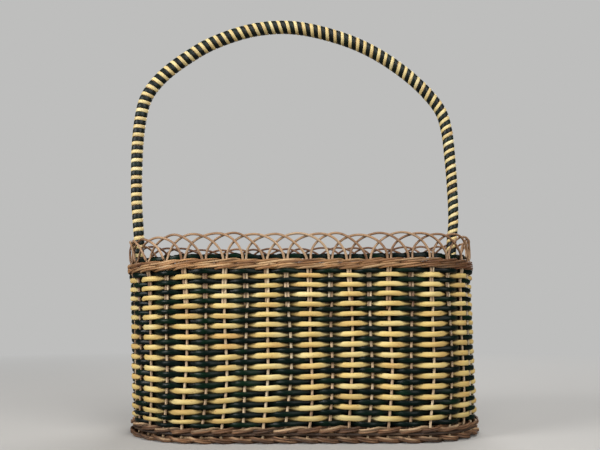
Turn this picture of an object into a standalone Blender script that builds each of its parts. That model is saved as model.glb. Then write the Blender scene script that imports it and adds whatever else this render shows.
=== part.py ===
"""Rattan bottle holder: an oblong woven basket with round ends and a bow handle.

Upright stakes stand on a plaited foot border. Two strands, one green and one yellow, wind round
them and chase each other, so that one passes outside a stake where the other passes inside. Twined
canes close the weave at the foot and at the rim, overlapping hoops stand above the rim, and the
handle is a bent cane wound with two strips. Metres, +Z up, origin on the ground at the middle of
the basket, front towards -Y.
"""
import math

import bmesh
import bpy
from mathutils import Vector

# Plan of the basket, along the middle of the stakes
HALF_LENGTH = 0.174
HALF_DEPTH = 0.077
STAKE_COUNT = 44
STAKE_SHIFT = -0.0045       # how far the first stake is moved round from half a bay past the front
FIT_GAP = 0.0003            # left between pieces that touch

# Stakes
STAKE_WIDTH = 0.0026
STAKE_DEPTH = 0.0024
TUCKED_WIDTH = 0.0050       # a stake with the end of a hoop tucked in beside it
TUCK_LENGTH = 0.045
TUCK_TAPER = 0.004

# Foot
FOOT_HEIGHT = 0.0055
FOOT_OUTSIDE = 0.0050
FOOT_INSIDE = 0.0042
FOOT_EDGE = 0.0011
FOOT_ROPE_BOTTOM = 0.0081
FOOT_ROPE_TOP = 0.0147
FOOT_ROPE_DEPTH = 0.0032
FLOOR_THICKNESS = 0.0040
FLOOR_GROOVES = 26
FLOOR_GROOVE_DEPTH = 0.0011     # of the groove between two of the floor's canes, above and below

# Weave
STRAND_HEIGHT = 0.0042
STRAND_DEPTH = 0.0016
STRAND_SWING = 0.0036       # how far a strand's middle lies from the stake line at a stake
ROW_PITCH = 0.00464         # from a green row to the next yellow row
GREEN_TURNS = 16
YELLOW_TURNS = 15
CLIMB_BAYS = 3              # bays at the back in which a strand climbs to its next row

# Rim
RIM_HEIGHT = 0.0086
RIM_DEPTH = 0.0038
RIM_INNER_DEPTH = 0.0030
RIM_EDGE = 0.0010
LEG_OPENING_BAYS = 1        # bays left open in the inner rim on each side of a handle leg

# Hoops
HOOP_DIAMETER = 0.0023
HOOP_SIDES = 4
HOOP_HEIGHT = 0.0234        # from the rim to the middle of the hoop's top
HOOP_BAYS = 3
HOOP_FOOT = 0.0021          # from a stake's middle to the hoop's foot beside it
HOOP_SINK = 0.0058          # how deep a hoop dips into the rim band
HOOP_STEP_OUT = 0.0028      # a falling leg lies this far outside a rising one
# along the half span, up from the dip, and out, for each point of a hoop
HOOP_SHARES = (
    (-1.00, 0.00, 0.0), (-0.94, 0.38, 0.0), (-0.72, 0.71, 0.0), (-0.30, 0.955, 0.0),
    (0.00, 1.00, 0.5),
    (0.30, 0.955, 1.0), (0.72, 0.71, 1.0), (0.94, 0.40, 1.0), (0.985, 0.25, 0.0), (1.00, 0.00, 0.0),
)

# Handle
HANDLE_TURN = math.radians(7.9)     # the bow's plane is turned from the basket's long axis
HANDLE_TOP = 0.4298                 # middle of the bow at its highest point
LEG_CORE_RADIUS = 0.0039
TOP_CORE_RADIUS = 0.0059
WRAP_GAP = 0.0005
WRAP_THICKNESS = 0.0008
WRAP_WIDTH = 0.0100
WRAP_TURNS = 22
WRAP_POINTS = 8                     # points in each turn, and sides of the core
CORE_STATIONS = 60
BOW_SAMPLES = 400
SMALLEST_WINDING_GAP = 0.0004
# sideways in shares of a leg's reach, up in shares of the bow's height above the rim
BOW_SHARES = (
    (-1.000, 0.00), (-1.000, 0.09), (-1.030, 0.15), (-1.050, 0.26), (-1.054, 0.38), (-1.052, 0.49),
    (-1.036, 0.594), (-1.009, 0.666), (-0.958, 0.727), (-0.882, 0.788), (-0.773, 0.847),
    (-0.645, 0.903), (-0.488, 0.949), (-0.324, 0.981), (-0.150, 1.000), (0.010, 0.999),
    (0.182, 0.981), (0.358, 0.949), (0.527, 0.899), (0.703, 0.825), (0.833, 0.746),
    (0.933, 0.664), (0.976, 0.575), (0.994, 0.468), (1.009, 0.348), (1.018, 0.20),
    (1.000, 0.09), (1.000, 0.00),
)

# Worked out from the sizes above
STRAIGHT = HALF_LENGTH - HALF_DEPTH
PERIMETER = 4 * STRAIGHT + 2 * math.pi * HALF_DEPTH
STAKE_PITCH = PERIMETER / STAKE_COUNT
CORNER_EASE = TUCKED_WIDTH / 2 * math.tan(STAKE_PITCH / HALF_DEPTH / 2)
OUTER_SEAT = STAKE_DEPTH / 2 + FIT_GAP + CORNER_EASE
INNER_SEAT = STAKE_DEPTH / 2 + FIT_GAP
FLOOR_BOTTOM = FOOT_HEIGHT + FIT_GAP
FLOOR_TOP = FLOOR_BOTTOM + FLOOR_THICKNESS
FIRST_ROW = FOOT_ROPE_TOP + FIT_GAP + STRAND_HEIGHT / 2
WEAVE_TOP = FIRST_ROW + 2 * (GREEN_TURNS - 1) * ROW_PITCH + STRAND_HEIGHT / 2
RIM_BOTTOM = WEAVE_TOP + FIT_GAP
RIM_TOP = RIM_BOTTOM + RIM_HEIGHT
HOOP_DIP = RIM_TOP - HOOP_SINK
HOOP_RADIUS = HOOP_DIAMETER / 2
STAKE_TOP = HOOP_DIP - HOOP_RADIUS - FIT_GAP
LEG_WRAPPED_RADIUS = LEG_CORE_RADIUS + WRAP_GAP + WRAP_THICKNESS
LEG_OFFSET = -(HOOP_RADIUS + 3 * FIT_GAP + LEG_WRAPPED_RADIUS)
LEG_FOOT_OFFSET = -(STRAND_SWING + STRAND_DEPTH / 2 + 2 * FIT_GAP + LEG_CORE_RADIUS)
BOW_HEIGHT = HANDLE_TOP - RIM_TOP


def plan_point(along, offset, height):
    """Point `along` metres round the stake line from the front's middle, `offset` outside it."""
    along = (along + PERIMETER / 2) % PERIMETER - PERIMETER / 2
    side = math.copysign(1, along)
    run = abs(along)
    quarter_turn = math.pi * HALF_DEPTH / 2
    if run <= STRAIGHT:
        return Vector((side * run, -HALF_DEPTH - offset, height))
    if run >= STRAIGHT + 2 * quarter_turn:
        return Vector((side * (PERIMETER / 2 - run), HALF_DEPTH + offset, height))
    angle = (run - STRAIGHT) / HALF_DEPTH
    reach = HALF_DEPTH + offset
    return Vector((side * (STRAIGHT + reach * math.sin(angle)), -reach * math.cos(angle), height))


def stake_place(index):
    """How far round the stake line a stake stands."""
    return (index + 0.5) * STAKE_PITCH + STAKE_SHIFT


def make_material(name, colour, roughness):
    """A Principled material of one colour."""
    material = bpy.data.materials.new(name)
    material.use_nodes = True
    shader = material.node_tree.nodes["Principled BSDF"]
    shader.inputs["Base Color"].default_value = (*colour, 1.0)
    shader.inputs["Roughness"].default_value = roughness
    shader.inputs["Metallic"].default_value = 0.0
    material.diffuse_color = (*colour, 1.0)
    return material


def sweep(name, rings, material, closed=False, smooth=False):
    """Join rings of points into one tube, end to end or capped at both ends."""
    mesh = bpy.data.meshes.new(name)
    bm = bmesh.new()
    loops = [[bm.verts.new(point) for point in ring] for ring in rings]
    followers = loops[1:] + loops[:1] if closed else loops[1:]
    for first, second in zip(loops, followers):
        for corner in range(len(first)):
            after = (corner + 1) % len(first)
            bm.faces.new((first[corner], first[after], second[after], second[corner]))
    if not closed:
        bm.faces.new(reversed(loops[0]))
        bm.faces.new(loops[-1])
    bmesh.ops.recalc_face_normals(bm, faces=bm.faces)
    bm.to_mesh(mesh)
    bm.free()
    if smooth:
        mesh.shade_smooth()
    mesh.materials.append(material)
    piece = bpy.data.objects.new(name, mesh)
    bpy.context.scene.collection.objects.link(piece)
    return piece


def round_section(centre, outward, upward, radius, sides):
    """Corners of a round section, as a polygon."""
    corners = []
    for side in range(sides):
        angle = 2 * math.pi * side / sides
        corners.append(centre + radius * (math.cos(angle) * outward + math.sin(angle) * upward))
    return corners


def make_stakes(material):
    """Upright canes, wider at the top where a hoop's end is tucked in beside each."""
    tuck_bottom = STAKE_TOP - TUCK_LENGTH
    levels = (
        (FLOOR_BOTTOM, STAKE_WIDTH), (tuck_bottom - TUCK_TAPER, STAKE_WIDTH),
        (tuck_bottom, TUCKED_WIDTH), (STAKE_TOP, TUCKED_WIDTH),
    )
    for index in range(STAKE_COUNT):
        place = stake_place(index)
        foot = plan_point(place, 0, 0)
        outward = (plan_point(place, HALF_DEPTH, 0) - foot).normalized()
        sideways = Vector((-outward.y, outward.x, 0))
        rings = []
        for height, width in levels:
            middle = foot + Vector((0, 0, height))
            rings.append([
                middle + sideways * width / 2 * across + outward * STAKE_DEPTH / 2 * out
                for across, out in ((-1, -1), (1, -1), (1, 1), (-1, 1))
            ])
        sweep(f"stake_{index + 1:02d}", rings, material)


def make_weaver(name, turns, first_height, outside_parity, material):
    """One strand wound round the wall, outside every second stake and inside the others."""
    rise = 2 * ROW_PITCH
    climb_start = STAKE_COUNT - CLIMB_BAYS
    steps = (turns - 1) * STAKE_COUNT + climb_start + 1
    rings = []
    for step in range(steps):
        turn, bay = divmod(step, STAKE_COUNT)
        stake = bay - STAKE_COUNT // 2
        height = first_height + rise * (turn + max(0, bay - climb_start) / CLIMB_BAYS)
        swing = STRAND_SWING if stake % 2 == outside_parity else -STRAND_SWING
        place = stake_place(stake)
        rings.append([
            plan_point(place, swing + STRAND_DEPTH / 2, height),
            plan_point(place, swing - STRAND_DEPTH / 2, height + STRAND_HEIGHT / 2),
            plan_point(place, swing - STRAND_DEPTH / 2, height - STRAND_HEIGHT / 2),
        ])
    return sweep(name, rings, material)


def make_band(name, near, far, bottom, top, edge, material, stakes=None):
    """A band of twined canes from `near` to `far` outside the stake line, all round or over some stakes."""
    middle = (bottom + top) / 2
    ease = math.copysign(edge, far - near)
    outline = (
        (near, bottom), (far - ease, bottom), (far, bottom + edge), (far, middle),
        (far, top - edge), (far - ease, top), (near, top),
    )
    rings = []
    for stake in (range(STAKE_COUNT) if stakes is None else stakes):
        rings.append([plan_point(stake_place(stake), offset, height) for offset, height in outline])
    return sweep(name, rings, material, closed=stakes is None)


def make_rim(material):
    """The outer rim band, and the inner one in two lengths between the handle's legs."""
    make_band("rim_twine_outer", OUTER_SEAT, OUTER_SEAT + RIM_DEPTH, RIM_BOTTOM, RIM_TOP, RIM_EDGE, material)
    leg_bay = (leg_place() - STAKE_SHIFT) / STAKE_PITCH - 0.5
    first_back = round(leg_bay) + LEG_OPENING_BAYS
    half = STAKE_COUNT // 2
    length = half - 2 * LEG_OPENING_BAYS + 1
    for name, start in (("rim_twine_inner_back", first_back), ("rim_twine_inner_front", first_back + half)):
        make_band(
            name, -INNER_SEAT, -INNER_SEAT - RIM_INNER_DEPTH, RIM_BOTTOM, RIM_TOP, RIM_EDGE, material,
            stakes=range(start, start + length),
        )


def make_foot(material):
    """The border that the basket stands on, with a flat underside, and the twined rope above it."""
    middle = FOOT_HEIGHT / 2
    outline = (
        (FOOT_EDGE - FOOT_INSIDE, 0), (FOOT_OUTSIDE - FOOT_EDGE, 0),
        (FOOT_OUTSIDE, middle), (FOOT_OUTSIDE - FOOT_EDGE, FOOT_HEIGHT),
        (FOOT_EDGE - FOOT_INSIDE, FOOT_HEIGHT), (-FOOT_INSIDE, middle),
    )
    rings = []
    for stake in range(STAKE_COUNT):
        rings.append([plan_point(stake_place(stake), offset, height) for offset, height in outline])
    sweep("foot_border", rings, material, closed=True)
    make_band(
        "foot_twine_outer", OUTER_SEAT, OUTER_SEAT + FOOT_ROPE_DEPTH, FOOT_ROPE_BOTTOM, FOOT_ROPE_TOP,
        RIM_EDGE, material,
    )
    make_band(
        "foot_twine_inner", -INNER_SEAT, -INNER_SEAT - FOOT_ROPE_DEPTH, FLOOR_TOP + FIT_GAP, FOOT_ROPE_TOP,
        RIM_EDGE, material,
    )


def make_floor(material):
    """The floor panel of long canes side by side, which rests on the inner edge of the foot border."""
    reach = HALF_DEPTH - INNER_SEAT
    rings = []
    for line in range(2 * FLOOR_GROOVES + 1):
        across = reach * (line / FLOOR_GROOVES - 1)
        half = STRAIGHT + math.sqrt(reach ** 2 - across ** 2)
        groove = FLOOR_GROOVE_DEPTH * (line % 2)
        bottom, top = FLOOR_BOTTOM + groove, FLOOR_TOP - groove
        rings.append([
            Vector((side * half, across, height))
            for side, height in ((-1, bottom), (1, bottom), (1, top), (-1, top))
        ])
    sweep("floor_panel", rings, material)


def hoop_path():
    """Middle line of the hoops: one cane that makes every hoop in turn and closes on itself."""
    half_span = HOOP_BAYS * STAKE_PITCH / 2 - HOOP_FOOT
    height = HOOP_HEIGHT + HOOP_SINK
    path = []
    for hoop in range(STAKE_COUNT):
        centre = stake_place(hoop * HOOP_BAYS) + HOOP_BAYS * STAKE_PITCH / 2
        for along_share, up_share, out_share in HOOP_SHARES:
            path.append((
                centre + along_share * half_span, out_share * HOOP_STEP_OUT, HOOP_DIP + up_share * height,
            ))
    return path


def make_hoops(material):
    """The scalloped border above the rim."""
    path = hoop_path()
    points = [plan_point(*place) for place in path]
    rings = []
    for index, (along, offset, height) in enumerate(path):
        outward = (plan_point(along, offset + HALF_DEPTH, height) - points[index]).normalized()
        ahead = points[(index + 1) % len(points)] - points[index]
        behind = points[index] - points[index - 1]
        run = ahead.normalized() + behind.normalized()
        upward = outward.cross(run).normalized()
        level = upward.cross(run).normalized()
        rings.append(round_section(points[index], level, upward, HOOP_RADIUS, HOOP_SIDES))
    sweep("rim_hoops", rings, material, closed=True, smooth=True)
    print(f"hoops: least gap of the cane to itself {least_cane_gap(points) * 1000:.2f} mm")


def least_cane_gap(points):
    """Least distance between the surfaces of crossing hoops, measured on points along them."""
    per_hoop = len(HOOP_SHARES)
    hoops = {}
    for hoop in range(STAKE_COUNT):
        corners = points[hoop * per_hoop:(hoop + 1) * per_hoop]
        hoops[hoop * HOOP_BAYS % STAKE_COUNT] = [
            first.lerp(second, part / HOOP_BAYS)
            for first, second in zip(corners, corners[1:]) for part in range(HOOP_BAYS)
        ]
    least = PERIMETER
    for start, line in hoops.items():
        for bays in range(1, HOOP_BAYS):
            other = hoops[(start + bays) % STAKE_COUNT]
            least = min(least, min((a - b).length for a in line for b in other))
    return least - HOOP_DIAMETER


def leg_reach(offset):
    """Distance from the middle of the basket, in the bow's plane, at which a leg has this offset."""
    across = STRAIGHT * math.sin(HANDLE_TURN)
    return STRAIGHT * math.cos(HANDLE_TURN) + math.sqrt((HALF_DEPTH + offset) ** 2 - across ** 2)


def leg_place():
    """How far round the stake line the right-hand leg stands."""
    reach = leg_reach(LEG_OFFSET)
    angle = math.atan2(reach * math.sin(HANDLE_TURN), reach * math.cos(HANDLE_TURN) - STRAIGHT)
    return STRAIGHT + HALF_DEPTH * (math.pi / 2 + angle)


def smooth_line(corners, samples):
    """Evenly spaced points on a smooth curve through the corners (Catmull-Rom)."""
    dense = []
    for index in range(len(corners) - 1):
        before = corners[max(index - 1, 0)]
        start, end = corners[index], corners[index + 1]
        after = corners[min(index + 2, len(corners) - 1)]
        for part in range(samples // len(corners)):
            t = part / (samples // len(corners))
            dense.append(
                0.5 * (2 * start + (end - before) * t + (2 * before - 5 * start + 4 * end - after) * t * t
                       + (3 * start - before - 3 * end + after) * t ** 3)
            )
    dense.append(corners[-1])
    return dense


class Bow:
    """Middle line of the handle, from the left leg's foot over the top to the right leg's foot."""

    def __init__(self):
        reach = leg_reach(LEG_OFFSET)
        foot_reach = leg_reach(LEG_FOOT_OFFSET)
        foot = FLOOR_TOP + FIT_GAP
        arch = [Vector((side * reach, RIM_TOP + up * BOW_HEIGHT)) for side, up in BOW_SHARES]
        left = [Vector((-foot_reach, foot)), Vector((-foot_reach, WEAVE_TOP))]
        right = [Vector((foot_reach, WEAVE_TOP)), Vector((foot_reach, foot))]
        line = smooth_line(left[1:] + arch + right[:1], BOW_SAMPLES)
        self.points = [left[0]] + line + [right[1]]
        self.lengths = [0.0]
        for first, second in zip(self.points, self.points[1:]):
            self.lengths.append(self.lengths[-1] + (second - first).length)
        self.total = self.lengths[-1]

    def locate(self, distance):
        """Middle, direction and core radius at a distance along the bow."""
        distance = min(max(distance, 0.0), self.total)
        index = 0
        low, high = 0, len(self.points) - 2
        while low <= high:
            index = (low + high) // 2
            if self.lengths[index + 1] < distance:
                low = index + 1
            elif self.lengths[index] > distance:
                high = index - 1
            else:
                break
        first, second = self.points[index], self.points[index + 1]
        share = (distance - self.lengths[index]) / (self.lengths[index + 1] - self.lengths[index])
        middle = first.lerp(second, share)
        before = self.points[max(index - 1, 0)]
        after = self.points[min(index + 2, len(self.points) - 1)]
        direction = ((second - before).normalized().lerp((after - first).normalized(), share)).normalized()
        rise = min(max((middle.y - RIM_TOP) / BOW_HEIGHT, 0.0), 1.0)
        radius = LEG_CORE_RADIUS + (TOP_CORE_RADIUS - LEG_CORE_RADIUS) * rise
        return middle, direction, radius

    def point(self, distance, angle, lift):
        """Point at an angle round the core and `lift` above its surface."""
        middle, direction, radius = self.locate(distance)
        in_plane = Vector((-direction.y, direction.x)) * math.cos(angle) * (radius + lift)
        side = math.sin(angle) * (radius + lift)
        reach = middle.x + in_plane.x
        turn_x, turn_y = math.cos(HANDLE_TURN), math.sin(HANDLE_TURN)
        return Vector((reach * turn_x + side * turn_y, reach * turn_y - side * turn_x, middle.y + in_plane.y))

    def stations(self, count):
        """Distances along the bow, closer together where it bends more."""
        weights = [0.0]
        for index in range(1, len(self.points) - 1):
            ahead = self.points[index + 1] - self.points[index]
            turn = ahead.angle(self.points[index] - self.points[index - 1])
            span = (self.lengths[index + 1] - self.lengths[index]) / self.total
            weights.append(weights[-1] + turn / math.pi + span)
        weights.append(weights[-1])
        places = []
        index = 0
        for step in range(count):
            target = weights[-1] * step / (count - 1)
            while index < len(weights) - 2 and weights[index + 1] < target:
                index += 1
            places.append(self.lengths[index + 1] if step else 0.0)
        places[-1] = self.total
        return sorted(set(places))

    def wrapped_range(self):
        """Where the winding starts and ends: in the rim band on each leg."""
        bottom = RIM_BOTTOM + RIM_EDGE
        inside = [length for point, length in zip(self.points, self.lengths) if point.y > bottom]
        return inside[0] + WRAP_WIDTH / 2, inside[-1] - WRAP_WIDTH / 2


def make_handle_core(bow, material):
    """The bent cane, standing on the floor panel at both ends."""
    rings = []
    for distance in bow.stations(CORE_STATIONS):
        angles = [2 * math.pi * side / WRAP_POINTS for side in range(WRAP_POINTS)]
        rings.append([bow.point(distance, angle, 0) for angle in angles])
    sweep("handle_core", rings, material, smooth=True)


def make_wrap(bow, name, start_turn, material):
    """One strip wound round the core in a right-handed helix, its flat sides along the core."""
    start, end = bow.wrapped_range()
    pitch = (end - start) / (WRAP_TURNS + 0.5)
    steps = WRAP_TURNS * WRAP_POINTS
    rings = []
    for step in range(steps + 1):
        distance = start + pitch * (start_turn + step / WRAP_POINTS)
        angle = 2 * math.pi * step / WRAP_POINTS
        rings.append([
            bow.point(distance - WRAP_WIDTH / 2, angle, WRAP_GAP),
            bow.point(distance - WRAP_WIDTH / 2, angle, WRAP_GAP + WRAP_THICKNESS),
            bow.point(distance + WRAP_WIDTH / 2, angle, WRAP_GAP + WRAP_THICKNESS),
            bow.point(distance + WRAP_WIDTH / 2, angle, WRAP_GAP),
        ])
    least = min(
        (first - second).length
        for ring, later in zip(rings, rings[WRAP_POINTS:])
        for first in ring[2:] for second in later[:2]
    )
    print(f"{name}: least gap of the strip to itself {least * 1000:.2f} mm")
    if least <= SMALLEST_WINDING_GAP:
        print(f"{name}: the strip's turns lie too close together")
    sweep(name, rings, material)


def build():
    """Model the whole basket."""
    for old in list(bpy.data.objects):
        bpy.data.objects.remove(old, do_unlink=True)
    pale_cane = make_material("pale_cane", (0.62, 0.48, 0.30), 0.6)
    tan_cane = make_material("tan_cane", (0.45, 0.27, 0.16), 0.55)
    brown_cane = make_material("brown_cane", (0.26, 0.15, 0.09), 0.6)
    green_strand = make_material("green_strand", (0.012, 0.035, 0.028), 0.3)
    yellow_strand = make_material("yellow_strand", (0.66, 0.46, 0.16), 0.4)
    green_strip = make_material("green_strip", (0.010, 0.030, 0.020), 0.3)
    cream_strip = make_material("cream_strip", (0.72, 0.62, 0.30), 0.4)
    make_foot(brown_cane)
    make_floor(tan_cane)
    make_stakes(pale_cane)
    make_weaver("green_weaver", GREEN_TURNS, FIRST_ROW, 1, green_strand)
    make_weaver("yellow_weaver", YELLOW_TURNS, FIRST_ROW + ROW_PITCH, 0, yellow_strand)
    make_rim(tan_cane)
    make_hoops(tan_cane)
    bow = Bow()
    make_handle_core(bow, tan_cane)
    make_wrap(bow, "handle_wrap_green", 0.0, green_strip)
    make_wrap(bow, "handle_wrap_yellow", 0.5, cream_strip)


build()
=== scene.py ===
"""Looks of the rattan bottle holder: an oblong woven basket with a scalloped rim and a bow handle.

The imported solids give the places. Every cane, strand and strip is modelled here in full: the chase
weave in green and yellow, the stakes that bend over into the hoops of the rim, the waled bands at
rim and foot, the woven floor, and the two strips that are wound round the handle.
"""
from __future__ import annotations

import logging
import math
from dataclasses import dataclass, replace
from enum import Enum
from typing import Union

import bpy
import numpy as np
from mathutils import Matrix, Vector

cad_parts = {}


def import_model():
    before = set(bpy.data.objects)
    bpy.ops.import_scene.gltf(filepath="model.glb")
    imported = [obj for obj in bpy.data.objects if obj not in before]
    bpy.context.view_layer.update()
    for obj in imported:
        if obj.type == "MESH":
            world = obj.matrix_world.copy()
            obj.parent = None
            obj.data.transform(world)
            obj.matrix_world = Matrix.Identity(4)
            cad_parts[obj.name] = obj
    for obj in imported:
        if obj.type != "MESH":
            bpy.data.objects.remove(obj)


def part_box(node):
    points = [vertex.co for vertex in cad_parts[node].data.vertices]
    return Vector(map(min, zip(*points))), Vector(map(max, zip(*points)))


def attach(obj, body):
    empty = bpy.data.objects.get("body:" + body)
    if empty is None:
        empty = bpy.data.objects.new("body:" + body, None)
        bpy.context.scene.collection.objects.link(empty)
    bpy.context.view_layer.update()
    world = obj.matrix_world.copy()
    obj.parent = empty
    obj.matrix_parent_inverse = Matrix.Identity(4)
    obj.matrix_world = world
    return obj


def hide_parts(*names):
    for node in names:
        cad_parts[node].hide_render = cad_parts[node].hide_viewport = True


LOG = logging.getLogger("rattan_bottle_holder")
BODY = "root"
FULL_TURN = 2 * math.pi
SCREEN_WHITE = 255
SCREEN_KNEE = 0.04045
SCREEN_SLOPE = 12.92
SCREEN_SHIFT = 0.055
SCREEN_POWER = 2.4
DRIFT_SHARES = ((0.55, 1.0), (0.3, 2.3), (0.15, 5.1))
Colour = tuple[float, float, float]
Span = tuple[float, float]
Value = Union[bpy.types.NodeSocket, float, tuple[float, ...]]


def from_screen(red: int, green: int, blue: int) -> Colour:
    """Turn a colour as a screen shows it into the linear values that a shader takes.

    Args:
        red: Red, 0 to 255.
        green: Green, 0 to 255.
        blue: Blue, 0 to 255.

    Returns:
        The linear colour.
    """
    linear = []
    for part in (red, green, blue):
        share = part / SCREEN_WHITE
        curved = ((share + SCREEN_SHIFT) / (1 + SCREEN_SHIFT)) ** SCREEN_POWER
        linear.append(share / SCREEN_SLOPE if share <= SCREEN_KNEE else curved)
    return linear[0], linear[1], linear[2]


def smooth_step(value: np.ndarray, low: float, high: float) -> np.ndarray:
    """Rise smoothly from 0 at `low` to 1 at `high`.

    Args:
        value: Where to read the curve.
        low: Where it leaves 0.
        high: Where it reaches 1.

    Returns:
        The curve's values.
    """
    share = np.clip((value - low) / (high - low), 0.0, 1.0)
    return share * share * (3 - 2 * share)


def signed_power(value: np.ndarray, power: float) -> np.ndarray:
    """Raise a size to a power and keep its sign."""
    return np.sign(value) * np.abs(value) ** power


def between(ends: Span, share: np.ndarray) -> np.ndarray:
    """Go from the first end to the second as `share` goes from 0 to 1."""
    return ends[0] + (ends[1] - ends[0]) * share


def drift(along: np.ndarray, seed: int, wave: float) -> np.ndarray:
    """A smooth wandering value between about -1 and 1 along a cane.

    Args:
        along: Distances along the cane.
        seed: Picks one wandering line.
        wave: Its longest wave.

    Returns:
        One value for each distance.
    """
    phases = np.random.default_rng(seed).uniform(0, FULL_TURN, len(DRIFT_SHARES))
    turns = FULL_TURN * along / wave
    return sum(
        share * np.sin(times * turns + phase) for (share, times), phase in zip(DRIFT_SHARES, phases)
    )


def smooth_curve(corners: np.ndarray, steps: int) -> np.ndarray:
    """Points on a smooth curve through the corners (Catmull-Rom).

    Args:
        corners: The corners.
        steps: Points from one corner to the next.

    Returns:
        The points.
    """
    padded = np.concatenate([corners[:1], corners, corners[-1:]])
    share = np.linspace(0, 1, steps, endpoint=False)[:, None]
    parts = []
    for before, start, end, after in zip(padded, padded[1:], padded[2:], padded[3:]):
        bent = (2 * before - 5 * start + 4 * end - after) * share ** 2
        twisted = (3 * start - before - 3 * end + after) * share ** 3
        parts.append((2 * start + (end - before) * share + bent + twisted) / 2)
    return np.concatenate(parts + [corners[-1:]])


@dataclass(frozen=True)
class Stray:
    """How far something strays along a cane, and the longest wave in which it does."""

    size: float
    wave: float

    def at(self, along: np.ndarray, seed: int) -> np.ndarray:
        """The stray at places along a cane."""
        return self.size * drift(along, seed, self.wave)


@dataclass
class Plan:
    """The line on which the stakes stand: a rectangle with round ends.

    `along` is the distance round it from the middle of the front, positive to the right, and
    `offset` the distance outside it.
    """

    half_length: float = 0.174
    half_depth: float = 0.077
    stakes: int = 44
    leg_stakes: tuple[int, int] = (-10, 12)
    shift: float = -0.0045
    uneven: float = 0.0015
    uneven_waves: int = 6
    uneven_start: float = 0.71
    front_share: float = 0.957
    end_share: float = 0.990
    lean: float = -0.0284
    widening: float = 0.0193
    flare: float = 0.0025
    flare_from: float = 0.148
    flare_to: float = 0.160

    @property
    def straight(self) -> float:
        """Half the length of a straight side."""
        return self.half_length - self.half_depth

    @property
    def perimeter(self) -> float:
        """Length of the whole line."""
        return 4 * self.straight + FULL_TURN * self.half_depth

    @property
    def pitch(self) -> float:
        """Distance from one stake to the next."""
        return self.perimeter / self.stakes

    def stake(self, number: np.ndarray | float) -> np.ndarray | float:
        """Place of a stake, or of a point between two, along the line, spaced as by hand.

        Args:
            number: Which stake, counted from the middle of the front.

        Returns:
            The place.
        """
        even = (number + 0.5) * self.pitch + self.shift
        wave = self.uneven_waves * FULL_TURN * even / self.perimeter + self.uneven_start
        return even + self.uneven * np.sin(wave)

    def bend(self, along: np.ndarray) -> tuple[np.ndarray, np.ndarray, np.ndarray]:
        """Side, run and angle of points on the line.

        Args:
            along: Places along the line.

        Returns:
            Which end each is nearer to, how far it is from the front's middle, and how far the line
            has turned there.
        """
        half = self.perimeter / 2
        wrapped = (np.asarray(along, float) + half) % self.perimeter - half
        side = np.where(wrapped < 0, -1.0, 1.0)
        run = np.abs(wrapped)
        angle = np.clip((run - self.straight) / self.half_depth, 0, math.pi)
        return side, run, angle

    def points(self, along: np.ndarray, offset: np.ndarray, height: np.ndarray) -> np.ndarray:
        """Points in space.

        Args:
            along: Places along the line.
            offset: Distances outside it.
            height: Heights.

        Returns:
            An array of points, one row each.
        """
        side, run, angle = self.bend(along)
        reach = self.half_depth + offset + self.flare * smooth_step(height, self.flare_from, self.flare_to)
        back = np.maximum(run - self.straight - math.pi * self.half_depth, 0)
        across = (np.minimum(run, self.straight) - back) * self.front_share
        across = across + reach * np.sin(angle) * self.end_share
        across = across * (1 + self.widening * height / self.flare_to)
        height = np.broadcast_to(height, across.shape)
        return np.stack([side * across + self.lean * height, -reach * np.cos(angle), height], axis=-1)

    def outward(self, along: np.ndarray) -> np.ndarray:
        """Unit directions that point out of the basket, one for each place along the line."""
        side, _, angle = self.bend(along)
        return np.stack([side * np.sin(angle), -np.cos(angle), np.zeros_like(angle)], axis=-1)

    def round_legs(self, stake: np.ndarray, offset: np.ndarray, depth: float, span: Span) -> np.ndarray:
        """Take a rod or a strand round the legs of the handle.

        Args:
            stake: Places along the line, counted in stakes.
            offset: Distances outside the line that it would have without the legs.
            depth: How far inside the line it passes a leg.
            span: Bays from a leg at which it leaves the leg and at which it is back in its row.

        Returns:
            Distances outside the line.
        """
        half = self.stakes / 2
        for leg in self.leg_stakes:
            away = np.abs((stake - leg + half) % self.stakes - half)
            offset = offset - (depth + offset) * (1 - smooth_step(away, *span))
        return offset


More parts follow.
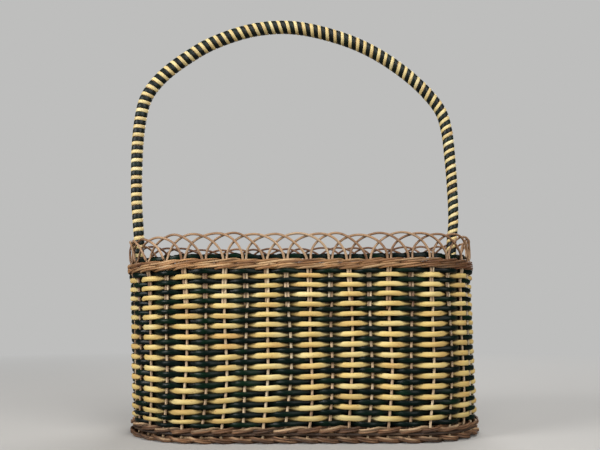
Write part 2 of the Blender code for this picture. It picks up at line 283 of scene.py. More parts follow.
@dataclass
class Handwork:
    """How far hand weaving strays from the plan: rows that settle and stakes that wander.

    A wave of `settle_shares` or `stray_shares` has its share, how often it goes up and down in a
    round, where it starts, and how it turns with the height.
    """

    plan: Plan
    settle: float = 0.00045
    settle_shares: tuple[tuple[float, ...], ...] = (
        (1.0, 4, 1.3, 14), (0.6, 9, 0.4, -31), (0.45, 19, 2.2, 47),
    )
    stray: float = 0.0008
    stray_shares: tuple[tuple[float, ...], ...] = (
        (1.0, 11, 0.0, 38), (0.7, 17, 1.9, -55), (0.5, 5, 0.7, 21),
    )
    foot_zone: float = 0.02
    tilt: float = 0.0100
    tilt_zone: float = 0.03
    sag: float = -0.0004
    sag_span: Span = (0.0, 0.1)
    free_span: Span = (0.92, 1.0)
    crowding: float = 0.0012
    crowding_power: float = 0.68
    weave_from: float = 0.015
    weave_to: float = 0.159
    crown: float = 0.0017
    crown_middle: float = 0.045
    crown_reach: float = 0.06
    belly: float = 0.0019
    belly_middle: float = 0.04
    belly_reach: float = 0.11
    belly_drop: float = 0.0008
    belly_span: Span = (0.1, 0.6)
    back_rise: float = 0.0022
    back_zone: float = 0.16
    slew: float = -0.0075
    slew_zone: float = 0.07
    slew_power: float = 1.5

    def waves(
        self, shares: tuple[tuple[float, ...], ...], along: np.ndarray, height: np.ndarray,
    ) -> np.ndarray:
        """Add up waves that go round the basket.

        Args:
            shares: The waves.
            along: Places along the stake line.
            height: Heights.

        Returns:
            One value for each place.
        """
        turn = FULL_TURN * along / self.plan.perimeter
        return sum(
            share * np.sin(times * turn + start + twist * height) for share, times, start, twist in shares
        )

    def heights(self, along: np.ndarray, height: np.ndarray) -> np.ndarray:
        """Height that the weave really has where it should have `height`.

        Args:
            along: Places along the stake line.
            height: Planned heights.

        Returns:
            Real heights.
        """
        along, height = np.asarray(along), np.asarray(height, float)
        level = np.zeros_like(along, float)
        across, deep, _ = np.moveaxis(self.plan.points(along, level, level), -1, 0)
        share = np.clip((height - self.weave_from) / (self.weave_to - self.weave_from), 0, 1)
        free = (1 - smooth_step(share, *self.free_span)) * smooth_step(share, *self.sag_span)
        crown = self.crown * np.exp(-((across - self.crown_middle) / self.crown_reach) ** 2)
        belly = self.belly * np.exp(-((across - self.belly_middle) / self.belly_reach) ** 2)
        low = (belly - self.belly_drop) * (1 - smooth_step(share, *self.belly_span))
        rise = self.tilt * across * smooth_step(height, 0, self.tilt_zone)
        rise = rise + free * (self.sag + crown * (1 + share) / 2 + low)
        rise = rise - self.crowding * np.sin(FULL_TURN * share ** self.crowding_power)
        back = smooth_step(deep, 0, self.plan.half_depth) * smooth_step(height, 0, self.back_zone)
        wave = self.waves(self.settle_shares, along, height)
        settled = self.settle * wave * smooth_step(height, 0, self.foot_zone)
        return height + rise + self.back_rise * back + settled

    def places(self, along: np.ndarray, height: np.ndarray) -> np.ndarray:
        """Place along the line that a stake really has at some height.

        Args:
            along: Planned places.
            height: Heights.

        Returns:
            Real places.
        """
        height = np.asarray(height, float)
        twist = self.slew * np.maximum(1 - height / self.slew_zone, 0) ** self.slew_power
        wave = self.waves(self.stray_shares, np.asarray(along), height)
        return along + twist + self.stray * wave * smooth_step(height, 0, self.foot_zone)


@dataclass(frozen=True)
class Section:
    """Shape of a cane's cross-section: 2 is round, more is squarer."""

    sides: int = 10
    squareness: float = 2.0

    def corners(self) -> tuple[np.ndarray, np.ndarray]:
        """Corners of the section, starting at the inner side.

        Returns:
            Shares of the half depth and shares of the half width.
        """
        angle = math.pi + FULL_TURN * np.arange(self.sides) / self.sides
        power = 2 / self.squareness
        return signed_power(np.cos(angle), power), signed_power(np.sin(angle), power)


@dataclass
class Cane:
    """One cane as a path with a size at each point, made into a closed tube.

    `tone` is the cane's own number, which its colours are drawn by. `crest` is 1 where it has its
    plain colour and 0 where it turns to its tail colour: painted shade where it lies back, and a hoop's
    own brown. Nothing of it goes below `floor`.
    """

    points: np.ndarray
    outward: np.ndarray
    half_depth: np.ndarray | float
    half_width: np.ndarray | float
    tone: float = 0.5
    crest: np.ndarray | float = 1.0
    section: Section = Section()
    floor: float | None = None

    def lengths(self) -> np.ndarray:
        """Distance along the path at each point."""
        steps = np.linalg.norm(np.diff(self.points, axis=0), axis=1)
        return np.concatenate([[0.0], np.cumsum(steps)])

    def spans(self) -> tuple[np.ndarray, np.ndarray]:
        """Depth and width of each corner at each point, from the path.

        Returns:
            Two arrays of points by corners by 1.
        """
        count = len(self.points)
        depth_shares, width_shares = self.section.corners()
        depths = np.broadcast_to(self.half_depth, (count,))[:, None] * depth_shares
        widths = np.broadcast_to(self.half_width, (count,))[:, None] * width_shares
        return depths[..., None], widths[..., None]

    def rings(self) -> np.ndarray:
        """Corners of the section at each point.

        Returns:
            An array of points by corners by coordinates.
        """
        ahead = np.gradient(self.points, axis=0)
        ahead /= np.linalg.norm(ahead, axis=1, keepdims=True)
        across = np.cross(ahead, self.outward)
        across /= np.linalg.norm(across, axis=1, keepdims=True)
        facing = np.cross(across, ahead)
        depths, widths = self.spans()
        rings = self.points[:, None, :] + depths * facing[:, None, :] + widths * across[:, None, :]
        if self.floor is not None:
            rings[..., 2] = np.maximum(rings[..., 2], self.floor)
        return rings


@dataclass
class Strip(Cane):
    """A strip that lies on a core, with a flat back and a rounded face."""

    ahead: np.ndarray | None = None
    back_share: float = 0.12

    def rings(self) -> np.ndarray:
        """Corners of the section, with its width along the core and its face away from it.

        Returns:
            An array of points by corners by coordinates.
        """
        depths, widths = self.spans()
        raised = np.where(depths > 0, depths, self.back_share * depths)
        face = self.points[:, None, :] + raised * self.outward[:, None, :]
        return face - widths * self.ahead[:, None, :]


class MeshBuilder:
    """Collects canes and makes them into one mesh object."""

    def __init__(self) -> None:
        """Start with nothing in the mesh."""
        self.vertices: list[np.ndarray] = []
        self.faces: list[tuple[int, ...]] = []
        self.uvs: list[np.ndarray] = []
        self.tones: list[np.ndarray] = []
        self.crests: list[np.ndarray] = []
        self.count = 0

    def add(self, cane: Cane) -> None:
        """Add one cane, capped at both ends.

        Args:
            cane: The cane.
        """
        rings = cane.rings()
        rows, sides, _ = rings.shape
        lengths = cane.lengths()
        index = self.count + np.arange(rows * sides).reshape(rows, sides)
        after = np.roll(index, -1, axis=1)
        quads = np.stack([index[:-1], after[:-1], after[1:], index[1:]], axis=-1).reshape(-1, 4)
        self.faces.extend(map(tuple, quads.tolist()))
        around = np.arange(sides) / sides
        first = np.broadcast_to(around, (rows - 1, sides))
        second = first + 1 / sides
        low = np.broadcast_to(lengths[:-1, None], first.shape)
        high = np.broadcast_to(lengths[1:, None], first.shape)
        uv = np.stack([low, first, low, second, high, second, high, first], axis=-1)
        self.uvs.append(uv.reshape(-1, 2))
        for ring, order in ((index[0], slice(None, None, -1)), (index[-1], slice(None))):
            self.faces.append(tuple(ring[order].tolist()))
            self.uvs.append(np.stack([np.full(sides, lengths[-1]), around], axis=-1))
        self.vertices.append(rings.reshape(-1, 3))
        self.tones.append(np.full(rows * sides, cane.tone))
        self.crests.append(np.repeat(np.broadcast_to(cane.crest, (rows,)), sides))
        self.count += rows * sides

    def finish(self, name: str, material: bpy.types.Material) -> bpy.types.Object:
        """Make the object.

        Args:
            name: Its name.
            material: Its finish.

        Returns:
            The finished object, at the origin.
        """
        mesh = bpy.data.meshes.new(name)
        mesh.from_pydata(np.concatenate(self.vertices).tolist(), [], self.faces)
        layer = mesh.uv_layers.new(name="UVMap")
        layer.data.foreach_set("uv", np.concatenate(self.uvs).astype(np.float32).ravel())
        for label, values in (("tone", self.tones), ("crest", self.crests)):
            attribute = mesh.attributes.new(label, "FLOAT", "POINT")
            attribute.data.foreach_set("value", np.concatenate(values).astype(np.float32))
        mesh.shade_smooth()
        mesh.materials.append(material)
        piece = bpy.data.objects.new(name, mesh)
        bpy.context.scene.collection.objects.link(piece)
        LOG.info("%s: %d points, %d faces", name, self.count, len(mesh.polygons))
        return piece


class Graph:
    """A short way to write a material's nodes."""

    def __init__(self, name: str) -> None:
        """Make a material with a plain shader.

        Args:
            name: The material's name.
        """
        self.material = bpy.data.materials.new(name)
        self.material.use_nodes = True
        self.tree = self.material.node_tree
        self.shader = self.tree.nodes["Principled BSDF"]

    def node(self, kind: str, output: str | int = 0, **inputs: Value | str) -> bpy.types.NodeSocket:
        """Add a node.

        Args:
            kind: The node's type.
            output: The output that is wanted.
            **inputs: A value or a socket for an input, or a value for a property of the node. An
                input's name has _ for a space, and a number after `slot` picks it by place.

        Returns:
            The wanted output.
        """
        made = self.tree.nodes.new(kind)
        sockets = {}
        for key, value in inputs.items():
            if key.startswith("slot"):
                sockets[int(key.removeprefix("slot"))] = value
            elif hasattr(made, key):
                setattr(made, key, value)
            else:
                sockets[key.replace("_", " ")] = value
        for place, value in sockets.items():
            self.feed(made.inputs[place], value)
        return made.outputs[output]

    def feed(self, socket: bpy.types.NodeSocket, value: Value) -> None:
        """Link a socket into an input, or set the input's value.

        Args:
            socket: The input.
            value: A socket or a value.
        """
        if isinstance(value, bpy.types.NodeSocket):
            self.tree.links.new(value, socket)
        else:
            socket.default_value = value

    def math(self, operation: str, first: Value, second: Value = 0.0) -> bpy.types.NodeSocket:
        """Do a sum."""
        return self.node("ShaderNodeMath", operation=operation, slot0=first, slot1=second)

    def span(self, value: Value, source: Span, target: Span = (0.0, 1.0)) -> bpy.types.NodeSocket:
        """Map one range to another."""
        low, high = source
        return self.node(
            "ShaderNodeMapRange", slot0=value, slot1=low, slot2=high, slot3=target[0], slot4=target[1],
        )

    def blend(self, share: Value, first: Value, second: Value, mode: str = "MIX") -> bpy.types.NodeSocket:
        """Mix two colours.

        Args:
            share: Share of the second.
            first: A colour.
            second: A colour.
            mode: How they mix.

        Returns:
            The mixed colour.
        """
        made = self.tree.nodes.new("ShaderNodeMix")
        made.data_type = "RGBA"
        made.blend_type = mode
        self.feed(made.inputs[0], share)
        for place, value in ((6, first), (7, second)):
            linked = isinstance(value, bpy.types.NodeSocket)
            self.feed(made.inputs[place], value if linked else (*value, 1))
        return made.outputs[2]

    def dim(self, colour: Value, shade: Value) -> bpy.types.NodeSocket:
        """Darken a colour by a shade of grey."""
        grey = self.node("ShaderNodeCombineColor", Red=shade, Green=shade, Blue=shade)
        return self.blend(1.0, colour, grey, "MULTIPLY")


@dataclass(frozen=True)
class Grain:
    """A noise on canes: how far apart two canes read it, its detail and its roughness."""

    apart: float
    detail: float
    roughness: float = 0.5


class CaneGraph(Graph):
    """A material's nodes on a cane: the places along it and round it, its tone and its crest."""

    def __init__(self, name: str) -> None:
        """Read where a point lies on its cane.

        Args:
            name: The material's name.
        """
        super().__init__(name)
        place = self.node("ShaderNodeUVMap", uv_map="UVMap")
        split = self.node("ShaderNodeSeparateXYZ", Vector=place).node
        self.along = split.outputs["X"]
        self.around = split.outputs["Y"]
        self.tone = self.node("ShaderNodeAttribute", "Fac", attribute_name="tone")
        self.crest = self.node("ShaderNodeAttribute", "Fac", attribute_name="crest")

    def grain(self, grain: Grain, cells_along: float, cells_around: float) -> bpy.types.NodeSocket:
        """Read a noise that is stretched along the cane.

        Args:
            grain: The noise.
            cells_along: Its cells in a metre of cane.
            cells_around: Its cells in a turn round it.

        Returns:
            The noise.
        """
        place = self.node(
            "ShaderNodeCombineXYZ",
            X=self.math("MULTIPLY", self.along, cells_along),
            Y=self.math("MULTIPLY", self.around, cells_around),
            Z=self.math("MULTIPLY", self.tone, grain.apart),
        )
        return self.node(
            "ShaderNodeTexNoise", "Fac", Vector=place, Scale=1.0, Detail=grain.detail,
            Roughness=grain.roughness,
        )


@dataclass(frozen=True)
class CaneFinish:
    """How a cane or a dyed strand looks: its colours along the length, its fibres, its gloss, and painted
    shade where it lies back, at the basket's right and back, and near the floor.

    A `_span` gives the two readings between which one look goes over into the next.
    """

    name: str
    light: Colour
    middle: Colour
    dark: Colour
    tail_and_shade: Colour
    light_span: Span = (0.25, 0.5)
    dark_span: Span = (0.5, 0.85)
    tone_share: float = 0.5
    brown_and_shade_share: float = 0.0
    recess_shade_share: float = 0.0
    recess_shade_span: Span = (-0.16, 0.14)
    edge_span: Span = (0.95, 1.05)
    patch: Grain = Grain(37.0, 2.0)
    patch_length: float = 0.06
    patches_around: float = 0.8
    fibre: Grain = Grain(11.0, 4.0, 0.65)
    fibre_length: float = 0.02
    fibres_around: float = 16.0
    fibre_share: float = 0.6
    fibre_span: Span = (0.38, 0.62)
    fibre_contrast: float = 0.35
    fibre_depth: float = 0.00006
    fibre_bump: float = 10.0
    bump_strength: float = 0.6
    streak: Grain = Grain(5.0, 2.0)
    streak_cells: float = 0.3
    gloss_span: Span = (0.3, 0.7)
    roughness_low: float = 0.42
    roughness_high: float = 0.62
    specular: float = 0.4
    joint_spacing: float = 0.14
    joint_strength: float = 0.0
    joint_turns: float = 7.3
    joint_span: Span = (0.0004, 0.0016)
    joint_swell: float = 1.5
    spot: Grain = Grain(3.0, 1.0)
    spot_cells: float = 420.0
    spots_around: float = 9.0
    spot_span: Span = (0.70, 0.76)
    speckle: float = 0.0
    speckle_colour: Colour = (0.05, 0.02, 0.01)
    low_shade_share: float = 0.0
    low_shade_span: Span = (0.014, 0.050)

    def material(self) -> bpy.types.Material:
        """Build the nodes.

        Returns:
            The material.
        """
        graph = CaneGraph(self.name)
        fibre = graph.grain(self.fibre, 1 / self.fibre_length, self.fibres_around)
        streak = graph.grain(self.streak, self.streak_cells / self.fibre_length, self.fibres_around / 2)
        fine = graph.math("MULTIPLY", fibre, self.fibre_share)
        height = graph.math("ADD", fine, graph.math("MULTIPLY", streak, 1 - self.fibre_share))
        shade = graph.span(height, self.fibre_span, (1 - self.fibre_contrast, 1.0))
        colour = graph.dim(self.shades(graph), shade)
        if self.joint_strength:
            joint = self.joints(graph)
            colour = graph.blend(joint, colour, self.dark)
            height = graph.math("ADD", height, graph.math("MULTIPLY", joint, self.joint_swell))
        if self.speckle:
            spots = graph.grain(self.spot, self.spot_cells, self.spots_around)
            share = graph.span(spots, self.spot_span, (0.0, self.speckle))
            colour = graph.blend(share, colour, self.speckle_colour)
        # Painted shade: darker towards the floor, for the shade at the foot.
        if self.low_shade_share:
            place = graph.node("ShaderNodeTexCoord", "Object")
            level = graph.node("ShaderNodeSeparateXYZ", "Z", Vector=place)
            colour = graph.dim(colour, graph.span(level, self.low_shade_span, (1 - self.low_shade_share, 1.0)))
        roughness = graph.span(streak, self.gloss_span, (self.roughness_low, self.roughness_high))
        distance = self.fibre_depth * self.fibre_bump
        bump = graph.node("ShaderNodeBump", Height=height, Distance=distance, Strength=self.bump_strength)
        graph.feed(graph.shader.inputs["Base Color"], colour)
        graph.feed(graph.shader.inputs["Roughness"], roughness)
        graph.feed(graph.shader.inputs["Normal"], bump)
        graph.shader.inputs["Specular IOR Level"].default_value = self.specular
        return graph.material

    def shades(self, graph: CaneGraph) -> bpy.types.NodeSocket:
        """Colour without its fibres: patches from light to dark, and the tail colour where the crest is
        low, which is painted shade and a hoop's own brown.

        Args:
            graph: The material's nodes.

        Returns:
            The colour.
        """
        patch = graph.grain(self.patch, 1 / self.patch_length, self.patches_around)
        own = graph.math("MULTIPLY", graph.math("SUBTRACT", graph.tone, 0.5), self.tone_share)
        depth = graph.math("ADD", patch, own)
        colour = graph.blend(graph.span(depth, self.light_span), self.light, self.middle)
        # Where the crest is low the colour turns to the tail colour: a hoop's own brown, and painted shade
        # on the rim's right end, on the hoops at the right and back, and on the foot's recessed canes.
        if self.brown_and_shade_share:
            browned_and_shaded = graph.span(graph.crest, (0.0, 1.0), (self.brown_and_shade_share, 0.0))
            colour = graph.blend(browned_and_shaded, colour, self.tail_and_shade)
        colour = graph.blend(graph.span(depth, self.dark_span), colour, self.dark)
        # Painted shade: dark edges where a strand goes in behind its neighbours.
        if self.recess_shade_share:
            colour = graph.blend(self.recess(graph), colour, self.tail_and_shade)
        return colour

    def joints(self, graph: CaneGraph) -> bpy.types.NodeSocket:
        """Share of the dark colour at the rings where the cane's leaves once grew.

        Args:
            graph: The material's nodes.

        Returns:
            The share.
        """
        start = graph.math("MULTIPLY", graph.tone, self.joint_turns)
        turns = graph.math("ADD", graph.math("DIVIDE", graph.along, self.joint_spacing), start)
        aside = graph.math("ABSOLUTE", graph.math("SUBTRACT", graph.math("FRACT", turns), 0.5))
        apart = graph.math("MULTIPLY", aside, self.joint_spacing)
        return graph.span(apart, self.joint_span, (self.joint_strength, 0.0))

    def recess(self, graph: CaneGraph) -> bpy.types.NodeSocket:
        """Share of the tail colour, painted shade, where a strand goes in behind its neighbours, on either
        face.

        Args:
            graph: The material's nodes.

        Returns:
            The share.
        """
        aside = graph.math("ABSOLUTE", graph.math("SUBTRACT", graph.around, 0.5))
        aside = graph.math("MULTIPLY", aside, 4.0)
        outer = graph.math("SUBTRACT", aside, graph.crest)
        hidden = graph.math("SUBTRACT", 1.0, graph.crest)
        inner = graph.math("SUBTRACT", graph.math("SUBTRACT", 2.0, aside), hidden)
        face = graph.span(aside, self.edge_span)
        chosen = graph.node("ShaderNodeMix", slot0=face, slot2=outer, slot3=inner)
        return graph.span(chosen, self.recess_shade_span, (0.0, self.recess_shade_share))


class Finish(Enum):
    """The finishes of the basket, by the record's slot that each belongs to."""

    STAKE = "pale_cane"
    RIM = "tan_cane"
    FOOT = "brown_cane"
    GREEN = "green_strand"
    YELLOW = "yellow_strand"
    GREEN_STRIP = "green_strip"
    CREAM_STRIP = "cream_strip"


FINISHES: dict[Finish, CaneFinish] = {
    # Stakes: the tail colour is the hoops' own brown, with painted shade at the right and the back.
    Finish.STAKE: CaneFinish(
        "pale_cane_finish", from_screen(246, 224, 186), from_screen(224, 192, 152),
        from_screen(118, 78, 50), from_screen(154, 108, 72), brown_and_shade_share=0.9, patch_length=0.03,
        fibre_contrast=0.5, fibres_around=9.0, joint_spacing=0.17, joint_strength=0.5,
    ),
    # Rim: the tail colour is painted shade on the rods' right end, with some of their own browner colour.
    Finish.RIM: CaneFinish(
        "tan_cane_finish", from_screen(230, 188, 138), from_screen(192, 142, 92),
        from_screen(112, 66, 34), from_screen(116, 74, 44), brown_and_shade_share=0.9, patch_length=0.022,
        fibre_contrast=0.7, fibres_around=8.0, fibre_depth=0.00012, joint_spacing=0.19,
        joint_strength=0.6,
    ),
    # Foot: the tail colour is painted shade on the canes that lie back between border and rope.
    Finish.FOOT: CaneFinish(
        "brown_cane_finish", from_screen(216, 180, 138), from_screen(134, 94, 62),
        from_screen(50, 30, 17), from_screen(70, 51, 35), brown_and_shade_share=0.9, patch_length=0.02,
        fibre_contrast=0.85, fibres_around=10.0, fibre_depth=0.00016, roughness_low=0.5,
        roughness_high=0.72, joint_spacing=0.15, joint_strength=0.6,
    ),
    # Strands: the tail colour is painted shade where they go in behind their neighbours.
    Finish.GREEN: CaneFinish(
        "green_strand_finish", from_screen(14, 40, 22), from_screen(6, 23, 17),
        from_screen(3, 8, 12), from_screen(1, 1, 1), recess_shade_share=0.95, patch_length=0.025,
        fibre_contrast=0.5, fibres_around=12.0, roughness_low=0.24, roughness_high=0.38, specular=0.11,
    ),
    # The yellow's low rows are also painted darker as shade near the floor.
    Finish.YELLOW: CaneFinish(
        "yellow_strand_finish", from_screen(240, 220, 156), from_screen(226, 196, 122),
        from_screen(200, 152, 90), from_screen(36, 22, 9), recess_shade_share=0.96, patch_length=0.03,
        fibre_contrast=0.25, fibres_around=12.0, roughness_high=0.6, specular=0.2, speckle=0.5,
        speckle_colour=from_screen(160, 100, 46), low_shade_share=0.24,
    ),
    Finish.GREEN_STRIP: CaneFinish(
        "green_strip_finish", from_screen(20, 40, 28), from_screen(10, 22, 17),
        from_screen(8, 13, 13), from_screen(8, 12, 12), patch_length=0.02, fibre_contrast=0.5,
        fibres_around=8.0, roughness_low=0.4, roughness_high=0.55, specular=0.28,
    ),
    Finish.CREAM_STRIP: CaneFinish(
        "cream_strip_finish", from_screen(244, 228, 174), from_screen(230, 206, 142),
        from_screen(206, 166, 108), from_screen(190, 140, 90), patch_length=0.02,
        fibre_contrast=0.2, fibres_around=10.0, roughness_low=0.4, roughness_high=0.55,
    ),
}


class Dresser:
    """Makes each piece, gives it its body and its finish, and hides the solids that it stands for."""

    def __init__(self) -> None:
        """Build every finish once."""
        self.materials = {finish: look.material() for finish, look in FINISHES.items()}

    def dress(self, canes: list[Cane], name: str, finish: Finish, *nodes: str) -> None:
        """Make a piece and hand it over.

        Args:
            canes: The piece's canes.
            name: Its name.
            finish: Its finish.
            *nodes: The solids that it stands for.
        """
        builder = MeshBuilder()
        for cane in canes:
            builder.add(cane)
        piece = builder.finish(name, self.materials[finish])
        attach(piece, BODY)
        if nodes:
            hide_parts(*nodes)


@dataclass(frozen=True)
class Course:
    """How one strand winds round the wall.

    Its first turn lies in `row`. It passes outside the even stakes if `parity` is 0 and outside the
    odd ones if it is 1. It starts `early` and ends `late` by so many bays, each time inside a stake.
    """

    node: str
    finish: Finish
    turns: int
    row: int
    parity: int
    early: int
    late: int
    seed: int


@dataclass
class Weave:
    """The two strands of the wall, which wind round the stakes and chase each other."""

    plan: Plan
    hands: Handwork
    bottom: float
    top: float
    courses: tuple[Course, ...] = (
        Course("green_weaver", Finish.GREEN, turns=16, row=0, parity=1, early=2, late=3, seed=11),
        Course("yellow_weaver", Finish.YELLOW, turns=15, row=1, parity=0, early=1, late=2, seed=29),
    )
    swing: float = 0.0030
    roundness: float = 0.12
    width_shares: tuple[float, ...] = (1.56, 1.2, 1.0)
    depth: float = 0.0028
    edge_gap: float = 0.0003
    steps: int = 10
    climb_bays: int = 3
    width_stray: Stray = Stray(0.04, 0.31)
    offset_stray: Stray = Stray(0.0002, 0.17)
    height_stray: Stray = Stray(0.0002, 0.13)
    rock: Stray = Stray(0.16, 0.12)
    section: Section = Section(squareness=2.4)

    @property
    def row_pitch(self) -> float:
        """Height from a row to the next row of the other colour."""
        rows = sum(course.turns for course in self.courses)
        return (self.top - self.bottom - 2 * self.edge_gap) / rows

    def strand(self, course: Course) -> Cane:
        """One strand, from the foot to the rim.

        Args:
            course: How it winds.

        Returns:
            The strand, widest where it is innermost.
        """
        stakes, seed = self.plan.stakes, course.seed
        climb_start = stakes - self.climb_bays
        bays = (course.turns - 1) * stakes + climb_start + course.late
        at = np.linspace(-course.early, bays, (bays + course.early) * self.steps + 1)
        turn, bay = np.divmod(at, stakes)
        risen = np.clip(turn + smooth_step(bay, climb_start, stakes), 0, course.turns - 1)
        planned = self.bottom + self.edge_gap + self.row_pitch * (0.5 + course.row + 2 * risen)
        stake = at - stakes // 2
        along = self.plan.stake(stake)
        distance = at * self.plan.pitch
        above = self.hands.heights(along, planned + self.row_pitch)
        below = self.hands.heights(along, planned - self.row_pitch)
        wave = np.cos(math.pi * (stake - course.parity))
        # The finish paints shade where the crest is low and the strand lies back.
        crest = (1 + wave) / 2
        fullness = np.interp(crest, np.linspace(0, 1, len(self.width_shares)), self.width_shares)
        width = (above - below) / 2 * fullness * (1 + self.width_stray.at(distance, seed))
        bulge = wave * (1 + self.roundness - self.roundness * wave * wave)
        offset = self.swing * bulge + self.offset_stray.at(distance, seed + 1)
        height = self.hands.heights(along, planned) + self.height_stray.at(distance, seed + 2)
        real = self.hands.places(along, planned)
        facing = self.plan.outward(real)
        facing[..., 2] = self.rock.at(distance, seed + 3)
        return Cane(
            points=self.plan.points(real, offset, height), outward=facing,
            half_depth=self.depth / 2, half_width=width / 2, crest=crest, section=self.section,
        )

    def build(self, dresser: Dresser) -> None:
        """Make both strands."""
        for course in self.courses:
            dresser.dress([self.strand(course)], f"{course.node}_strand", course.finish, course.node)


@dataclass
class StakesAndHoops:
    """The stakes: each rises through the wall, bends over three bays and is tucked in beside another.

    A pair of `_shares` or `_strays` gives the lowest and the highest that a stake may draw.
    """

    plan: Plan
    hands: Handwork
    floor_bottom: float
    rim_bottom: float
    rim_top: float
    hoop_top: float
    below_floor: float = 0.003
    stake_radius: float = 0.00125
    hoop_radius: float = 0.00114
    depth_share: float = 0.94
    width_shares: Span = (0.98, 1.06)
    beside: float = 0.00122
    aside_below: float = 0.008
    aside_above: float = 0.006
    foot_apart: float = 0.0017
    apart_below: float = 0.006
    bays: int = 3
    tuck: float = 0.042
    tuck_shares: Span = (0.9, 1.12)
    step_out: float = 0.0026
    step_span: Span = (-0.34, 0.34)
    step_zone: float = 0.25
    rising_shares: Span = (1.75, 2.3)
    falling_shares: Span = (1.5, 1.95)
    skew_shares: Span = (-0.075, 0.075)
    lift_strays: Span = (-0.0008, 0.0014)
    across_power: float = 1.08
    up_steps: int = 46
    arch_steps: int = 36
    down_steps: int = 16
    first_seed: int = 100
    tone_shares: Span = (0.05, 0.9)
    back_shade_tone: float = 0.7
    pale_share: float = 0.35
    foot_crest: float = 0.45
    crest_zone: float = 0.004
    crest_power: float = 0.7

    def cane(self, number: int) -> Cane:
        """One stake with its hoop and its tucked end.

        Args:
            number: Which stake.

        Returns:
            The cane.
        """
        rng = np.random.default_rng(self.first_seed + number)
        start, end = self.plan.stake(number), self.plan.stake(number + self.bays)
        tuck_foot = self.rim_top - self.tuck * rng.uniform(*self.tuck_shares)
        up = np.linspace(self.floor_bottom - self.below_floor, self.rim_top, self.up_steps)
        down = np.linspace(self.rim_top, tuck_foot, self.down_steps)
        moved = smooth_step(up, tuck_foot - self.aside_below, tuck_foot + self.aside_above)
        rise_along = start + self.beside * moved + self.apart(up)
        fall_along = end - self.beside - self.apart(down)
        rise = (self.hands.places(rise_along, up), np.zeros_like(up), up)
        arch = self.arch(start + self.foot_apart, end - self.foot_apart, rng)
        fall = (self.hands.places(fall_along, down), np.zeros_like(down), down)
        along, offset, height = (
            np.concatenate([first, second[1:-1], third]) for first, second, third in zip(rise, arch, fall)
        )
        radius = np.full_like(height, self.hoop_radius)
        radius[:self.up_steps] = self.stake_radius - (self.stake_radius - self.hoop_radius) * moved
        # Painted shade: hoops darken towards the right and the back, on top of their own brown.
        brown, back = self.hoop_brown_and_shade(start)
        return Cane(
            points=self.plan.points(along, offset, height),
            outward=self.plan.outward(along),
            half_depth=radius * self.depth_share,
            half_width=radius * rng.uniform(*self.width_shares),
            # Painted shade: stakes towards the back get a darker tone.
            tone=float(rng.uniform(*self.tone_shares)) + self.back_shade_tone * back,
            crest=self.crests(up, down, brown),
        )

    def apart(self, height: np.ndarray) -> np.ndarray:
        """How much further from its neighbour a hoop's foot stands in the rim band than below it."""
        closing = smooth_step(height, self.rim_bottom - self.apart_below, self.rim_top)
        return (self.foot_apart - self.beside) * closing

    def crests(self, up: np.ndarray, down: np.ndarray, brown: float) -> np.ndarray:
        """How plain the cane's colour is: pale in the wall, and browner in the hoop, with its own brown and
        with painted shade added at the right and the back.

        Args:
            up: Heights of the rising part.
            down: Heights of the tucked part.
            brown: How far its hoop turns to the tail colour: its own brown and painted shade.

        Returns:
            One share for each point.
        """
        low = self.foot_crest
        arch = np.sin(np.linspace(0, math.pi, self.arch_steps - 2)) ** self.crest_power
        return np.concatenate([
            1 - (1 - low) * smooth_step(up, self.rim_top - self.crest_zone, self.rim_top),
            low - low * brown * arch,
            low + (1 - low) * smooth_step(-down, -self.rim_top, self.crest_zone - self.rim_top),
        ])

    def hoop_brown_and_shade(self, along: float) -> tuple[float, float]:
        """How far the hoops at a place turn to their tail colour: palest at the front's left, nearest the
        main lamp, with painted shade growing to the right and the back.

        Args:
            along: Place along the stake line.

        Returns:
            How far the hoop turns to its tail colour (its own brown and painted shade), and how far the
            place lies towards the back.
        """
        place = self.plan.points(np.array([along]), np.zeros(1), np.zeros(1))[0]
        right = float(smooth_step(place[0], 0.0, self.plan.half_length))
        back = float(smooth_step(place[1], 0.0, self.plan.half_depth))
        return self.pale_share + (1 - self.pale_share) * max(right, back), back

    def arch(self, start: float, end: float, rng: np.random.Generator) -> tuple[np.ndarray, ...]:
        """The hoop above the rim.

        Args:
            start: Place of its rising foot.
            end: Place of its falling foot.
            rng: Source of its unevenness.

        Returns:
            Places along the stake line, offsets and heights.
        """
        angle = np.linspace(math.pi, 0, self.arch_steps)
        rising, falling = rng.uniform(*self.rising_shares), rng.uniform(*self.falling_shares)
        skew = rng.uniform(*self.skew_shares)
        rise = self.hoop_top - self.hoop_radius - self.rim_top + rng.uniform(*self.lift_strays)
        share = signed_power(np.cos(angle), self.across_power)
        lift = np.abs(np.sin(angle)) ** (2 / np.where(angle > math.pi / 2, rising, falling))
        along = (start + end) / 2 + (share + skew * lift) * (end - start) / 2
        change = smooth_step(share, *self.step_span)
        offset = self.step_out * (change - 0.5) * smooth_step(lift, 0.0, self.step_zone)
        rim = np.full_like(along, self.rim_top)
        return self.hands.places(along, rim), offset, self.hands.heights(along, rim) + lift * rise

    def build(self, dresser: Dresser) -> None:
        """Make every stake.

        Args:
            dresser: Makes the pieces.
        """
        for number in range(self.plan.stakes):
            node = f"stake_{number + 1:02d}"
            dresser.dress([self.cane(number)], f"{node}_and_hoop", Finish.STAKE, node, "rim_hoops")


